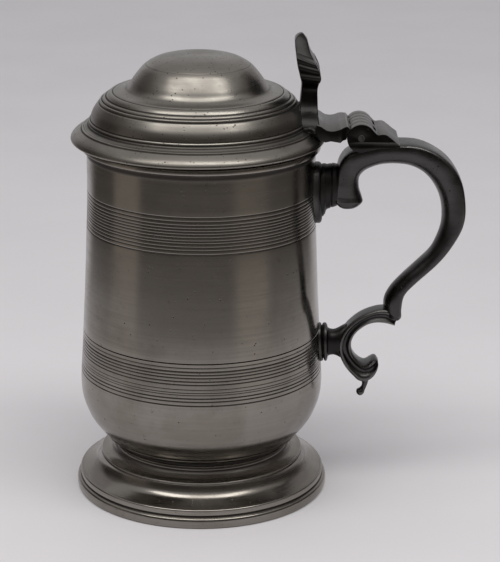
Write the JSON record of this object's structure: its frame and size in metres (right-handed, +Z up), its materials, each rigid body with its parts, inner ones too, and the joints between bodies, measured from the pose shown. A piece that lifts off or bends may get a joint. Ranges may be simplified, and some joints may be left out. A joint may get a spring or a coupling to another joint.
{
  "type": "lidded pewter tankard",
  "caption": "Drinking tankard with a bellied drum on a spreading foot, a double-scroll handle and a hinged domed lid raised by a pierced thumbpiece.",
  "frame": {"origin": "under the middle of the whole object's bounding box, on the plane the foot stands on; the drum's own axis is vertical at x = -30.8 mm, y = 0", "axes": "+Z up, +X from the drum towards the handle, +Y across the handle, along the lid's hinge pin"},
  "size_m": [0.179, 0.1174, 0.2152],
  "materials": {
    "pewter": "aged pewter, turned and worn to a soft sheen under a grey-brown patina",
    "dark_pewter": "cast pewter, satin, with a near-black patina"
  },
  "bodies": {
    "vessel": {"drum": "pewter", "bowl": "pewter", "base_disc": "pewter", "foot_ring": "pewter", "upper_socket": "dark_pewter", "lower_socket": "dark_pewter", "upper_scroll": "dark_pewter", "lower_scroll": "dark_pewter", "hinge_block": "dark_pewter", "hinge_pin": "dark_pewter"},
    "lid": {"lid_cover": "pewter", "lid_bezel": "pewter", "hinge_leaf": "dark_pewter", "thumbpiece": "dark_pewter"}
  },
  "joints": [
    {"name": "lid_hinge", "type": "hinge", "parent": "vessel", "child": "lid", "pos_m": [0.0409, 0, 0.17], "axis": [0, 1, 0], "range_deg": [0, 105]}
  ]
}
